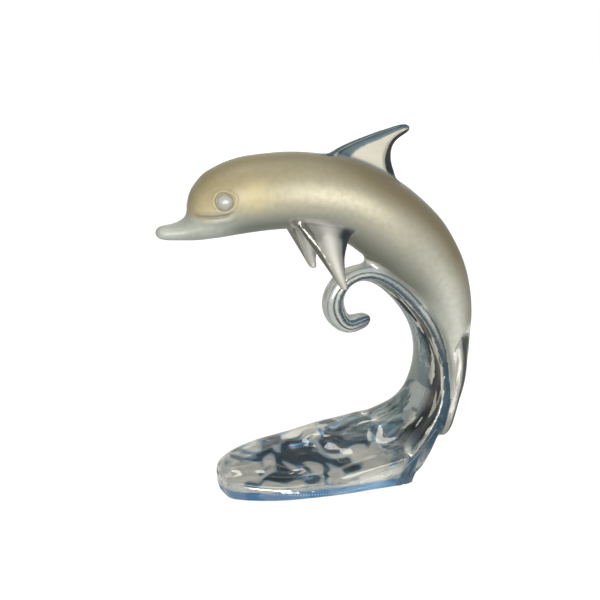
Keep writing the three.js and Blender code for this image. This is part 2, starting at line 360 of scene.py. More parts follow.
NEAR, FAR = -1, 1
near_fin = oval_skin("near_pectoral_fin", pectoral_sections(NEAR, steps=26), CORNER_STEPS, FIN_CORNER)
far_fin = oval_skin("far_pectoral_fin", pectoral_sections(FAR, steps=26), CORNER_STEPS, FIN_CORNER)
near_lobe = oval_skin("near_lobe", lobe_sections(NEAR, steps=28), sides=28)
far_lobe = oval_skin("far_lobe", lobe_sections(FAR, steps=28), sides=28)

# %% [markdown]
# The mound and the wave are one ribbon of water. Its sections are rounded oblongs whose far edge is
# lifted and whose inner face is troughed, which no resize or turn can do. So a straight bar is
# extruded first, one unit long and one unit round, and its points are then pressed into the ribbon.

# %% A bar to press
WATER_STEPS = 240
WATER_SIDES = 120


def bar(name, sides, rings):
    """A straight bar along X from 0 to 1, one unit in radius, extruded ring by ring."""
    deselect()
    bpy.ops.mesh.primitive_circle_add(vertices=sides, radius=1, fill_type="NGON")
    piece = bpy.context.object
    piece.name = name
    bpy.ops.object.mode_set(mode="EDIT")
    bpy.ops.transform.rotate(value=math.pi / 2, orient_axis="Y", center_override=(0, 0, 0))
    for _ in range(rings):
        bpy.ops.mesh.extrude_region_move(TRANSFORM_OT_translate={"value": (1 / rings, 0, 0)})
    bpy.ops.object.mode_set(mode="OBJECT")
    return piece


def softened(value, power):
    """A cosine or sine whose circle is pressed towards a square, by a power below one."""
    return math.copysign(abs(value) ** power, value)


# %% [markdown]
# Each row of the water gives the middle of a section, its thickness, its width as shares of the
# crest's and the base's, and how far its far edge is lifted and its face troughed. The near rim has a
# crest with a hollow below it, which is what draws the bright and dark lines along the real rim.

# %% Rows of the water
MOUND = [  # x from the heel in hundredths of the base, z, half thickness, crest, spread, lift, trough
    [-100.0, 3.0, 1.2, 0.55, 0.0, 0.0, 0.0],
    [-99.2, 3.0, 3.3, 1, 0.22, 0.3, 0.0],
    [-96.0, 3.0, 4.8, 1, 0.41, 1.0, 0.0],
    [-86.8, 3.0, 5.7, 1, 0.66, 2.1, 0.4],
    [-73.4, 3.0, 6.1, 1, 0.88, 3.0, 0.7],
    [-55.4, 3.3, 6.6, 1, 0.98, 3.5, 1.1],
    [-38.2, 3.9, 7.1, 1, 1.0, 4.3, 1.5],
    [-23.2, 5.1, 6.9, 1, 0.92, 4.6, 1.8],
    [-9.5, 7.4, 6.3, 1, 0.79, 4.6, 2.1],
]
WAVE = [  # the same from the bend up to the crest and round to the tip, with x in hundredths of height
    [30.4, 10.8, 5.1, 1, 0.68, 3.9, 2.1],
    [34.8, 15.2, 3.7, 1, 0.58, 2.9, 1.8],
    [37.7, 20.0, 3.1, 1, 0.5, 2.4, 1.8],
    [39.2, 25.7, 2.9, 1, 0.43, 1.9, 1.6],
    [39.5, 31.7, 2.9, 1, 0.37, 1.3, 1.3],
    [38.5, 37.8, 3.1, 1, 0.3, 0.7, 1.0],
    [36.5, 43.3, 3.3, 1, 0.21, 0.4, 0.6],
    [33.1, 48.7, 3.3, 1, 0.12, 0.1, 0.4],
    [28.8, 53.6, 3.2, 1, 0.06, 0.0, 0.2],
    [24.1, 57.1, 2.8, 1, 0.02, 0.0, 0.1],
    [19.9, 58.7, 2.5, 1, 0.0, 0.0, 0.1],
    [16.0, 58.6, 2.5, 1, 0.0, 0.0, 0.1],
    [12.6, 57.0, 2.7, 1, 0.0, 0.0, 0.1],
    [10.5, 54.2, 3.0, 0.98, 0, 0.0, 0.1],
    [9.7, 51.1, 3.2, 0.96, 0, 0.0, 0.1],
    [10.4, 48.1, 3.2, 0.93, 0, 0.0, 0.1],
    [12.1, 45.6, 2.7, 0.89, 0, 0.0, 0.1],
    [14.2, 44.5, 2.3, 0.86, 0, 0.0, 0.1],
    [16.8, 45.0, 2.3, 0.8, 0, 0.0, 0.1],
    [19.1, 45.5, 1.9, 0.66, 0, 0.0, 0.0],
    [20.8, 45.6, 0.7, 0.26, 0, 0.0, 0.0],
]
ribbon_rows = [[HEEL + row[0] * BASE_LENGTH / 100 / HUNDREDTH] + row[1:] for row in MOUND] + WAVE
HAIR = 1e-3


def ribbon_frame(share):
    """The ribbon at a share of its length: its row, and the direction to its inner face."""
    row = read(ribbon_rows, share)
    before = read(ribbon_rows, max(share - HAIR, 0))
    after = read(ribbon_rows, min(share + HAIR, 1))
    path = Vector((after[0] - before[0], 0, after[1] - before[1])).normalized()
    return row, path.cross(Vector((0, 1, 0)))


ribbon_frames = [ribbon_frame(step / WATER_STEPS) for step in range(WATER_STEPS + 1)]
print("ribbon", len(ribbon_rows), "rows,", len(ribbon_frames), "frames")

# %% [markdown]
# Now the bar is pressed. A point's place along the bar picks the frame, and its angle round the bar
# gives its place across the ribbon and its level between the back and the face. Troughs, rims and
# hollows are bell curves of these, so they run into each other without an edge.

# %% The ribbon of water
SQUARENESS = 0.72
NEAR_GROOVE = 0.5 * MM
NEAR_GROOVE_WIDTH = 0.42
TROUGH_PLACE = -0.32
TROUGH_SPREAD = 0.36
TROUGH_DEEPER = 1.2
CREST_RISE = 0.8 * MM
CREST_ANGLE = math.radians(20)
CREST_SHARP = 0.17
HOLLOW_DEPTH = 2.4 * MM
HOLLOW_ANGLE = math.radians(55)
HOLLOW_SPREAD = 0.36
RIM_END = 0.06
NOTCH_LEVEL = 3.6 * MM
NOTCH_HEIGHT = 1.1 * MM
NOTCH_DEPTH = 1.0 * MM


def bell(distance, width):
    """One at no distance, and soon nought beyond the width."""
    return np.exp(-((distance / width) ** 2))


def place_and_level(angle):
    """Where an angle round the bar lies across the ribbon, and between its back and its face."""
    return -softened(math.cos(angle), SQUARENESS), softened(math.sin(angle), SQUARENESS)


def ribbon_point(share, angle):
    (x, z, thick, crest, spread, lift, trough), inward = ribbon_frames[round(share * WATER_STEPS)]
    half_width = (crest * CREST_WIDTH + spread * (BASE_WIDTH - CREST_WIDTH)) / 2
    place, level = place_and_level(angle)
    dip = TROUGH_DEEPER * trough * bell(place - TROUGH_PLACE, TROUGH_SPREAD) * max(level, 0)
    groove = NEAR_GROOVE * bell(level, NEAR_GROOVE_WIDTH) * max(-place, 0) ** 6 * crest
    ends = min(share / RIM_END, (1 - share) / RIM_END, 1)
    rise = CREST_RISE * ends * bell(angle - CREST_ANGLE, CREST_SHARP)
    hollow = HOLLOW_DEPTH * ends * bell(angle - HOLLOW_ANGLE, HOLLOW_SPREAD) * crest
    depth = hundredths(level * thick + place * lift - dip) - hollow * math.sin(HOLLOW_ANGLE)
    y = place * half_width + groove - rise + hollow * math.cos(HOLLOW_ANGLE)
    spot = at(x, z, y) + inward * depth
    notch = NOTCH_DEPTH * bell(spot.z - NOTCH_LEVEL, NOTCH_HEIGHT)
    spot.y -= math.copysign(min(notch, abs(spot.y)), spot.y)
    return spot


water = bar("water", WATER_SIDES, WATER_STEPS)
ribbon_places = []
for point in water.data.vertices:
    share, angle = point.co.x, math.atan2(point.co.z, -point.co.y)
    ribbon_places.append((share, *place_and_level(angle)))
    point.co = ribbon_point(share, angle)
ribbon_faces = np.array(
    [np.mean([ribbon_places[v] for v in face.vertices], axis=0) for face in water.data.polygons]
)
print("water", len(water.data.vertices), "points")

# %% [markdown]
# The foot is an oblong with rounded ends. Its heel leans out and up under the bend of the wave,
# so it is pressed from a short bar in the same way. It goes below the ground, where it is cut off.

# %% The foot
FOOT_SIDES = 96
FOOT_RINGS = 12
NOSE_ROUNDNESS = 0.95
HEEL_ROUNDNESS = 0.24
LEAN_OUT = 6.2
LEAN_UP = 9
NARROWING = 0.22
FOOT_SUNK = 3 * MM
FOOT_LIP = 0.7 * MM


def foot_point(share, angle):
    """A point of the foot: share from the ground up, angle round it."""
    inset = FOOT_INSET - FOOT_LIP * share ** 4
    half = BASE_LENGTH / 2 - inset
    half_width = BASE_WIDTH / 2 - inset
    power = NOSE_ROUNDNESS if math.cos(angle) < 0 else HEEL_ROUNDNESS
    place = softened(math.cos(angle), power)
    y = -softened(math.sin(angle), power) * half_width
    heel = ((place + 1) / 2) ** 5 * share
    middle = at(HEEL, 0).x - BASE_LENGTH / 2
    x = middle + place * half + hundredths(LEAN_OUT * heel)
    z = share * FOOT_HEIGHT + hundredths(LEAN_UP * heel)
    return Vector((x, y * (1 - NARROWING * heel), z - FOOT_SUNK * (share == 0)))


foot = bar("foot", FOOT_SIDES, FOOT_RINGS)
for point in foot.data.vertices:
    point.co = foot_point(point.co.x, math.atan2(point.co.z, point.co.y))
print("foot", len(foot.data.vertices), "points")

# %% [markdown]
# Glass is poured, so the parts run into each other with soft fillets. Here the parts are joined and
# remeshed into one skin. The skin is swollen, remeshed and shrunk back by the same amount, which
# fills each inner corner with a round and leaves the rest where it was.

# %% One casting
VOXEL = 0.8 * MM
FINE_VOXEL = 0.725 * MM
FILLET = 1.5 * MM
FORMS = [dolphin_body, beak, dorsal_fin, ridge, near_fin, far_fin, near_lobe, far_lobe, water, foot]
for form in FORMS:
    active(form)
    bpy.ops.object.mode_set(mode="EDIT")
    bpy.ops.mesh.select_all(action="SELECT")
    bpy.ops.mesh.normals_make_consistent(inside=False)
    bpy.ops.object.mode_set(mode="OBJECT")


def skin_tree(form):
    """The form's own surface, to measure distances from."""
    points = [point.co.copy() for point in form.data.vertices]
    return BVHTree.FromPolygons(points, [tuple(face.vertices) for face in form.data.polygons])


SKINS = {form.name: skin_tree(form) for form in FORMS}


def use_modifier(piece, kind, **settings):
    """Adds a modifier, sets it and applies it."""
    active(piece)
    modifier = piece.modifiers.new(kind.lower(), kind)
    for name, value in settings.items():
        setattr(modifier, name, value)
    bpy.ops.object.modifier_apply(modifier=modifier.name)


def joined(name, pieces):
    """Joins pieces into the first of them."""
    deselect()
    for one in pieces:
        one.select_set(True)
    bpy.context.view_layer.objects.active = pieces[0]
    bpy.ops.object.join()
    pieces[0].name = name
    return pieces[0]


crystal = joined("cast_crystal", [water] + [form for form in FORMS if form not in (water, foot)])
use_modifier(crystal, "REMESH", mode="VOXEL", voxel_size=VOXEL)
use_modifier(crystal, "DISPLACE", strength=FILLET, mid_level=0)
use_modifier(crystal, "REMESH", mode="VOXEL", voxel_size=VOXEL)
use_modifier(crystal, "DISPLACE", strength=-FILLET, mid_level=0)
use_modifier(crystal, "REMESH", mode="VOXEL", voxel_size=FINE_VOXEL)
use_modifier(crystal, "SMOOTH", factor=0.5, iterations=8)
crystal = joined("cast_crystal", [crystal, foot])
use_modifier(crystal, "REMESH", mode="VOXEL", voxel_size=FINE_VOXEL)
use_modifier(crystal, "SMOOTH", factor=0.5, iterations=4)
print("casting", len(crystal.data.polygons), "faces")

# %% [markdown]
# The sculpture stands on a ground, flat underside. The casting is cut at the ground and closed.

# %% Flat underside
active(crystal)
bpy.ops.object.mode_set(mode="EDIT")
bpy.ops.mesh.select_all(action="SELECT")
bpy.ops.mesh.bisect(plane_co=(0, 0, 0), plane_no=(0, 0, 1), use_fill=True, clear_inner=True)
bpy.ops.mesh.select_all(action="SELECT")
bpy.ops.mesh.normals_make_consistent(inside=False)
active(crystal)
bpy.ops.object.shade_smooth_by_angle(angle=math.radians(40))
print("underside cut, casting", len(crystal.data.polygons), "faces")

# %% [markdown]
# The eye, the crease of the mouth and the ripples are pressed into the finished skin, as a stamp
# presses wax: each point moves along its own normal, in or out, by an amount in millimetres. The skin
# is first cut finer round the eyes and the mouth, so that the pressed edges stay crisp.

# %% Finer skin round the face
EYE = (-39.4, 138)
FACE_REACH = 12.5 * MM
FACE_SHIFT = 2 * MM
FACE_DEPTH = 4 * MM


def places(piece):
    """The points of a piece, and the way that each one faces."""
    count = len(piece.data.vertices)
    spots, facings = np.empty(count * 3), np.empty(count * 3)
    piece.data.vertices.foreach_get("co", spots)
    piece.data.vertex_normals.foreach_get("vector", facings)
    return spots.reshape(-1, 3), facings.reshape(-1, 3)


def press(piece, amount):
    """Moves each point along its normal by an amount in millimetres."""
    spots, facings = places(piece)
    moved = spots + facings * (amount * MM)[:, None]
    piece.data.vertices.foreach_set("co", moved.ravel())
    piece.data.update()


eye_middle = at_mm(*EYE)
active(crystal)
spots, _ = places(crystal)
near_eye = np.hypot(spots[:, 0] - eye_middle.x + FACE_SHIFT, spots[:, 2] - eye_middle.z) < FACE_REACH
near_eye &= np.abs(spots[:, 1]) > FACE_DEPTH
crystal.data.polygons.foreach_set("select", np.zeros(len(crystal.data.polygons), bool))
crystal.data.edges.foreach_set("select", np.zeros(len(crystal.data.edges), bool))
crystal.data.vertices.foreach_set("select", near_eye)
bpy.ops.object.mode_set(mode="EDIT")
bpy.context.tool_settings.mesh_select_mode = (True, False, False)
bpy.ops.mesh.select_mode(type="VERT")
bpy.ops.mesh.subdivide(number_cuts=1, smoothness=0)
bpy.ops.mesh.vertices_smooth(factor=0.5, repeat=2)
bpy.ops.object.mode_set(mode="OBJECT")
print("face", int(near_eye.sum()), "points, casting", len(crystal.data.polygons), "faces")

# %% [markdown]
# The real eye is a polished bead in a fine groove, with a soft lid round it, and the mouth is a crease
# that fades towards the cheek. Each is a sum of bell curves of the distance from the middle of the eye
# or from the line of the mouth. The measures are in millimetres.

# %% Eyes and mouth
EYE_BEAD, EYE_BEAD_RISE = 3.2, 1.2
EYE_GROOVE, EYE_GROOVE_WIDTH, EYE_GROOVE_DEPTH = 3.5, 0.6, 0.55
EYE_LID, EYE_LID_WIDTH, EYE_LID_RISE = 4.5, 0.7, 0.35
EYE_CORNER, EYE_CORNER_ANGLE, EYE_CORNER_SPREAD = 0.14, 0.35, 0.35
MOUTH = [
    (-54, 131.5), (-51.5, 131.3), (-48.6, 131.2), (-45, 131.1), (-41.7, 131.3), (-38.7, 131.7),
    (-36.6, 132.7), (-35, 134),
]
MOUTH_DEPTH, MOUTH_WIDTH, MOUTH_FADE = 0.9, 0.8, 0.25
CHEEK_RISE, CHEEK_AWAY = 0.3, 2.6
FACE_FROM, FACE_FADE = 4, 3


def line_distance(spots, line):
    """The distance in millimetres to a line of points in the XZ plane, and the share along it."""
    corners = np.array([[at_mm(x, z).x, at_mm(x, z).z] for x, z in line])
    flat = spots[:, [0, 2]]
    best = np.full(len(flat), np.inf)
    share = np.zeros(len(flat))
    for step, (start, end) in enumerate(zip(corners, corners[1:])):
        run = end - start
        part = np.clip(((flat - start) @ run) / (run @ run), 0, 1)
        gap_here = np.linalg.norm(flat - start - part[:, None] * run, axis=1) / MM
        closer = gap_here < best
        best[closer] = gap_here[closer]
        share[closer] = (step + part[closer]) / (len(corners) - 1)
    return best, share


spots, _ = places(crystal)
across = (spots[:, 0] - eye_middle.x) / MM
upward = (spots[:, 2] - eye_middle.z) / MM
from_middle = np.hypot(across, upward)
corner = 1 + EYE_CORNER * bell(np.arctan2(upward, across) - EYE_CORNER_ANGLE, EYE_CORNER_SPREAD)
away = from_middle / corner
face = np.clip((np.abs(spots[:, 1]) / MM - FACE_FROM) / FACE_FADE, 0, 1)
bead = EYE_BEAD_RISE * np.sqrt(np.clip(1 - (from_middle / EYE_BEAD) ** 2, 0, 1))
groove = EYE_GROOVE_DEPTH * bell(away - EYE_GROOVE, EYE_GROOVE_WIDTH)
lid = EYE_LID_RISE * bell(away - EYE_LID, EYE_LID_WIDTH)
mouth_gap, mouth_share = line_distance(spots, MOUTH)
fade = np.minimum(1, (1 - mouth_share) / MOUTH_FADE) * np.minimum(1, 0.5 + mouth_share)
cheek = CHEEK_RISE * bell(mouth_gap - CHEEK_AWAY, MOUTH_WIDTH)
mouth = (MOUTH_DEPTH * bell(mouth_gap, MOUTH_WIDTH) - cheek) * fade
crease = fade * face * bell(mouth_gap, MOUTH_WIDTH)
press(crystal, face * (bead - groove + lid - mouth))
print("eye beads rise", EYE_BEAD_RISE, "mm, mouth", MOUTH_DEPTH, "mm deep")

# %% [markdown]
# The poured water isn't even. Its top has shallow pillows and hollows, each about as wide as a thumb,
# and it is what they do to the light that makes the pool look wet. The height comes from a noise with
# a fixed seed, and it fades out at the rims and where the mound bends up into the wave.

# %% Ripples on the water
RIPPLE_SIZE = 13 * MM
RIPPLE_STRETCH = 1.4
RIPPLE_RISE = 1.6
NOISE_SEED = Vector((3.1, 7.7, 1.9))
RIM_CLEAR, RIM_FADE = 0.7, 0.2
POOL_END, POOL_FADE = 0.33, 0.08


def ripple(spot):
    long = RIPPLE_STRETCH * RIPPLE_SIZE
    turned = Vector((spot[0] / long, spot[1] / RIPPLE_SIZE, spot[2] / long))
    return noise.noise(turned + NOISE_SEED) + 0.15 * noise.noise(2.1 * turned + NOISE_SEED)


def ribbon_place(spot):
    """Where a point lies on the ribbon: share of its length, place across, level, and the distance."""
    _, _, face_number, distance = SKINS["water"].find_nearest(spot)
    return (*ribbon_faces[face_number], distance / MM)


spots, _ = places(crystal)
ribbon = np.array([ribbon_place(Vector(spot)) for spot in spots])
on_top = np.clip(ribbon[:, 2] / 0.5, 0, 1) * (ribbon[:, 3] < 2)
between_rims = np.clip((RIM_CLEAR - np.abs(ribbon[:, 1])) / RIM_FADE, 0, 1)
on_mound = np.clip((POOL_END - ribbon[:, 0]) / POOL_FADE, 0, 1)
amount = RIPPLE_RISE * on_top * on_mound * between_rims
waves = np.array([ripple(spot) if share else 0.0 for spot, share in zip(spots, amount)])
press(crystal, amount * waves)
spots, _ = places(crystal)
spots[:, 2] = np.maximum(spots[:, 2], 0)
crystal.data.vertices.foreach_set("co", spots.ravel())
crystal.data.update()
heights = amount * waves
print("ripples from", round(float(heights.min()), 2), "to", round(float(heights.max()), 2), "mm")

# %% [markdown]
# On the real piece the dolphin's skin is etched to a satin and all else is polished. Every point
# of the casting is given its depth inside the etched area, in millimetres. Where it is above
# nought the glass is satin. It is measured from the forms that were joined.

# %% Where the satin ends
SATIN_REACH = 0.6
PRESSED_FACE, PRESSED_REACH = 24, 2.5
SATIN_FORMS = ["body", "beak", "near_lobe", "far_lobe"]
CLEAR_MARGINS = {
    "dorsal_fin": 0.5, "ridge": 1.6, "near_pectoral_fin": 1.6, "far_pectoral_fin": 1.6, "water": 1.0,
}
TAIL_LINE = [
    (88, 75), (80, 67.5), (77, 63.5), (74, 58), (73, 50), (72, 39.4), (68.2, 31.8), (60, 20), (40, 0),
]
TAIL_TOP = 78
RIB_LINE = [(62.6, 75.4), (67.5, 58.4), (68.4, 48), (69.1, 40.6), (68.5, 29.4)]
RIB_LOW = 36
FAR_AWAY = 99


def gap(name, point):
    """How far a point is from a form's skin, in millimetres."""
    return SKINS[name].find_nearest(point)[3] / MM


def note(name, values):
    """Keeps one number for each point of the casting, for the material to read."""
    new = crystal.data.attributes.new(name, "FLOAT", "POINT")
    new.data.foreach_set("value", np.asarray(values, float))


def x_of_line(line, height):
    """The x of a falling line at each height, in millimetres."""
    return np.interp(height, [z for _, z in line][::-1], [x for x, _ in line][::-1])


spots, _ = places(crystal)
GAPS = {name: np.array([gap(name, spot) for spot in map(Vector, spots)]) for name in SKINS}
x_here, z_here = (spots[:, 0] - ORIGIN_X) / MM, spots[:, 2] / MM
tail_gap, _ = line_distance(spots, TAIL_LINE)
tail_side = np.where(x_here < x_of_line(TAIL_LINE, z_here), tail_gap, -tail_gap)
tail_side[z_here > TAIL_TOP] = FAR_AWAY
past_rib = np.where(z_here > RIB_LOW, x_here - x_of_line(RIB_LINE, z_here), -FAR_AWAY)
from_eye = np.hypot(spots[:, 0] - eye_middle.x, spots[:, 2] - eye_middle.z) / MM
reach = np.where(from_eye < PRESSED_FACE, PRESSED_REACH, SATIN_REACH)
satin = reach - np.min([GAPS[name] for name in SATIN_FORMS], axis=0)
satin = np.where(past_rib > 0, np.maximum(satin, np.minimum(past_rib, 1)), satin)
satin = np.minimum(satin, tail_side)
for name, margin in CLEAR_MARGINS.items():
    clear = GAPS[name] - margin
    satin = np.minimum(satin, np.maximum(clear, past_rib) if name == "water" else clear)
note("satin", satin)
print("satin points", int((satin > 0).sum()), "of", len(satin))

# %% [markdown]
# The satin's painted light is warm at the brow, and the satin is cool at the belly and the tail. So each
# point is also given its place along the dolphin, from nought at the brow to one at the tail, and its
# place across the section, from -1 at the belly to 1 at the back. The fins and the lobes get the same.

# %% Places along and across the body
AXIS_STEPS = 400
FIN_STEPS = 120
CHUNK = 20000


def along_and_across(rows, steps):
    """Each point's share of the way down a table of sections, and its place across the section."""
    axis = np.array([read(rows, step / steps) for step in range(steps + 1)])
    first = np.column_stack([ORIGIN_X + axis[:, 0] * HUNDREDTH, axis[:, 1] * HUNDREDTH])
    second = np.column_stack([ORIGIN_X + axis[:, 2] * HUNDREDTH, axis[:, 3] * HUNDREDTH])
    middle, half_chord = (first + second) / 2, (second - first) / 2
    flat = spots[:, [0, 2]]
    nearest = np.empty(len(flat), int)
    for start in range(0, len(flat), CHUNK):
        part = flat[start:start + CHUNK]
        nearest[start:start + CHUNK] = np.argmin(((part[:, None] - middle[None]) ** 2).sum(2), axis=1)
    offset = flat - middle[nearest]
    across = (offset * half_chord[nearest]).sum(1) / (half_chord[nearest] ** 2).sum(1)
    return nearest / steps, np.clip(across, -1.5, 1.5)


lobe_rows = []
for x, z, _, _, half in LOBE:
    aside, down = LOBE_SLANT.x * half, LOBE_SLANT.z * half
    lobe_rows.append([x - aside, z - down, x + aside, z + down])
TABLES = {"body": (BODY, AXIS_STEPS), "dorsal": (DORSAL_FIN, FIN_STEPS),
          "pectoral": (PECTORAL_FIN, FIN_STEPS), "lobe": (lobe_rows, FIN_STEPS)}
for name, (rows, steps) in TABLES.items():
    along, across = along_and_across(rows, steps)
    note(name + "_along", along)
    note(name + "_across", across)
print("places along and across", ", ".join(TABLES))

# %% [markdown]
# A mark is above nought on its form and falls below nought beside it, so that the material can fade
# from one to the other. A row of fine dots runs along the near side of the foot: its points get
# their distance from the row and their run along it. Each point takes its share of the ribbon from
# the nearest face, which leaves small steps, so the share is evened out with its neighbours'.

# %% Marks on the water, the fins and the dots
LOBE_CLEAR = 1.2
BEAD_LINE = [
    (-39.3, 7.1), (-20, 3), (6.5, 0.9), (27.2, 2), (35.9, 4.3), (44.5, 8.3), (52.4, 13.9), (57.1, 18.5),
    (61.8, 22.9),
]
BEAD_RUN = 160
SHARE_SMOOTHING = 80


def evened(values, rounds):
    """Averages each point's value with those of the points it shares an edge with."""
    ends = np.empty(len(crystal.data.edges) * 2, int)
    crystal.data.edges.foreach_get("vertices", ends)
    first_ends, second_ends = ends[0::2], ends[1::2]
    neighbours = np.bincount(ends, minlength=len(values))
    for _ in range(rounds):
        around = np.bincount(first_ends, values[second_ends], len(values))
        around += np.bincount(second_ends, values[first_ends], len(values))
        values = (values + around) / (1 + neighbours)
    return values


near_water = np.minimum(GAPS["water"], GAPS["foot"])
near_a_lobe = np.minimum(GAPS["near_lobe"], GAPS["far_lobe"])
near_a_fin = np.minimum(GAPS["near_pectoral_fin"], GAPS["far_pectoral_fin"])
bead_gap, bead_share = line_distance(spots, BEAD_LINE)
line_z = np.interp(spots[:, 0], [at_mm(x, 0).x for x, _ in BEAD_LINE], [z * MM for _, z in BEAD_LINE])
above_line = np.where(spots[:, 2] > line_z, bead_gap, -bead_gap)
MARKS = {
    "in_water": np.where(near_a_lobe > LOBE_CLEAR, 1 - near_water, near_a_lobe - LOBE_CLEAR),
    "on_lobe": np.minimum(LOBE_CLEAR - near_a_lobe, GAPS["water"] - 0.5),
    "on_ridge": 2.0 - GAPS["ridge"],
    "on_dorsal_fin": 1.2 - GAPS["dorsal_fin"],
    "on_pectoral_fin": 1.2 - near_a_fin,
    "on_heel": np.minimum(1 - GAPS["foot"], GAPS["water"] - 0.5),
    "bead_gap": np.where(spots[:, 1] < -FACE_DEPTH, above_line, 9),
    "bead_run": bead_share * BEAD_RUN,
    "ribbon_share": evened(ribbon[:, 0], SHARE_SMOOTHING),
    "ribbon_place": ribbon[:, 1],
    "ribbon_level": ribbon[:, 2],
    "ripple": waves,
    "crease": crease,
    "eye_bead": np.where(np.abs(spots[:, 1]) > FACE_DEPTH, EYE_BEAD - from_eye, -9),
}
for name, values in MARKS.items():
    note(name, values)
print(len(MARKS), "marks on", len(spots), "points")

# %% [markdown]
# Shader sums are written as Python expressions. A small class stands for a socket, and each
# operator adds a Math node. One method adds any other node, and layers lays colours over a first.

# %% Writing shaders as sums
class Sheet:
    """A sheet of shader nodes, for a material or for the world."""

    def __init__(self, owner):
        owner.use_nodes = True
        self.tree = owner.node_tree
        self.tree.nodes.clear()

    def node(self, kind, settings=None, inputs=None):
        new = self.tree.nodes.new(kind)
        for name, value in (settings or {}).items():
            if name == "stops":
                self.set_stops(new.color_ramp, value)
            else:
                setattr(new, name, value)
        for name, value in (inputs or {}).items():
            self.feed(new.inputs[name], value)
        return new

    def set_stops(self, ramp, stops):
        while len(ramp.elements) < len(stops):
            ramp.elements.new(0.5)
        for element, (position, colour) in zip(ramp.elements, stops):
            element.position = position
            element.color = (*colour, 1)

    def feed(self, socket, value):
        if isinstance(value, Value):
            self.tree.links.new(value.socket, socket)
        elif isinstance(value, bpy.types.NodeSocket):
            self.tree.links.new(value, socket)
        elif isinstance(value, (tuple, list)) and len(value) == 3 and socket.type == "RGBA":
            socket.default_value = (*value, 1)
        else:
            socket.default_value = value

    def value(self, kind, output, settings=None, inputs=None):
        return Value(self, self.node(kind, settings, inputs).outputs[output])

    def mark(self, name):
        return self.value("ShaderNodeAttribute", "Fac", {"attribute_name": name})

    def clouds(self, place, scale, detail, distortion=0):
        inputs = {"Vector": place, "Scale": scale, "Detail": detail, "Distortion": distortion}
        return self.value("ShaderNodeTexNoise", "Fac", inputs=inputs)

    def blend(self, share, first, second):
        """A colour between two, by a share."""
        new = self.node("ShaderNodeMix", {"data_type": "RGBA"})
        self.feed(new.inputs["Factor"], share)
        for name, colour in (("A", first), ("B", second)):
            self.feed([s for s in new.inputs if s.name == name and s.type == "RGBA"][0], colour)
        return Value(self, [s for s in new.outputs if s.type == "RGBA"][0])

    def layers(self, colour, *over):
        """Lays colours over a first one, each by its own share."""
        for share, new in over:
            colour = self.blend(share, colour, new)
        return colour


class Value:
    """A socket that takes part in sums."""

    def __init__(self, sheet, socket):
        self.sheet = sheet
        self.socket = socket

    def math(self, operation, *others, flipped=False):
        new = self.sheet.node("ShaderNodeMath", {"operation": operation})
        values = (*others, self) if flipped else (self, *others)
        for socket, value in zip(new.inputs, values):
            self.sheet.feed(socket, value)
        return Value(self.sheet, new.outputs[0])

    def __add__(self, other):
        return self.math("ADD", other)

    __radd__ = __add__

    def __mul__(self, other):
        return self.math("MULTIPLY", other)

    __rmul__ = __mul__

    def __sub__(self, other):
        return self.math("SUBTRACT", other)

    def __rsub__(self, other):
        return self.math("SUBTRACT", other, flipped=True)

    def soft_step(self, low, high):
        settings = {"interpolation_type": "SMOOTHSTEP"}
        inputs = {"Value": self, "From Min": low, "From Max": high}
        return self.sheet.value("ShaderNodeMapRange", "Result", settings, inputs)

    def hump(self):
        """A soft hump, one where this is nought and gone where it is one."""
        return 1 - self.math("ABSOLUTE").soft_step(0, 1)

    def at_least(self, *others):
        """The largest of this and the others."""
        largest = self
        for other in others:
            largest = largest.math("MAXIMUM", other)
        return largest


# %% [markdown]
# The casting has one material of two shaders: satin, which scatters the light, and clear, which lets
# it through. What differs from place to place is read from the marks and from Object coordinates, so
# that each colour stays on its spot of the glass from every side.

# %% A sheet for the crystal
crystal_look = bpy.data.materials.new("satin_and_clear_crystal")
sheet = Sheet(crystal_look)
object_place = sheet.node("ShaderNodeTexCoord").outputs["Object"]
axes = sheet.node("ShaderNodeSeparateXYZ", inputs={"Vector": object_place}).outputs
right, depth, up = (Value(sheet, axes[name]) for name in "XYZ")
cloud = sheet.clouds(object_place, 60, 4)


def patch(middle, reach):
    """A round soft patch: its middle as x, y, z and its reach, in millimetres."""
    x, y, z = middle
    places = {0: object_place, 1: tuple(at_mm(x, z, y))}
    away = sheet.node("ShaderNodeVectorMath", {"operation": "DISTANCE"}, places).outputs["Value"]
    return (Value(sheet, away) * (1 / (reach * MM))).hump()


# %% [markdown]
# Etched glass takes its tint from what stands behind and before it, so most tints here are painted
# light: painted warm and golden reflection at the brow, grey at the cheek, painted shade under the belly
# and over the back, a painted highlight band along the flank and a painted highlight that pales the
# tail. Each tint is laid over the last, by the place along and across the body, with some cloud and
# grain so that none is flat.

# %% Satin tints, painted light and painted shade
SATIN_COOL = (0.53, 0.56, 0.52)
SATIN_CHEEK = (0.44, 0.48, 0.45)
# Painted warm and golden light at the brow.
SATIN_WARM_LIGHT = (0.58, 0.56, 0.45)
SATIN_GOLD_LIGHT = (0.56, 0.485, 0.275)
# A painted highlight band along the flank, and a painted highlight down the middle of the tail.
SATIN_HIGHLIGHT_BAND = (0.98, 0.93, 0.74)
SATIN_TAIL_HIGHLIGHT = (0.78, 0.8, 0.74)
SATIN_CLOUD = (0.62, 0.6, 0.52)
# Painted shade under the belly and over the back.
SATIN_BELLY_SHADE = (0.075, 0.095, 0.075)
SATIN_BACK_SHADE = (0.26, 0.22, 0.135)
GRAIN_COLOUR = (0.22, 0.2, 0.15)
# A golden patch of painted reflection beside the eye.
GOLD_REFLECTION, GOLD_PLACE, GOLD_REACH = (0.8, 0.68, 0.36), (-25.5, -16, 140), 11
SATIN_BEAK, BEAK_PLACE, BEAK_PATCH = (0.72, 0.76, 0.73), (-68, 0, 131), 20

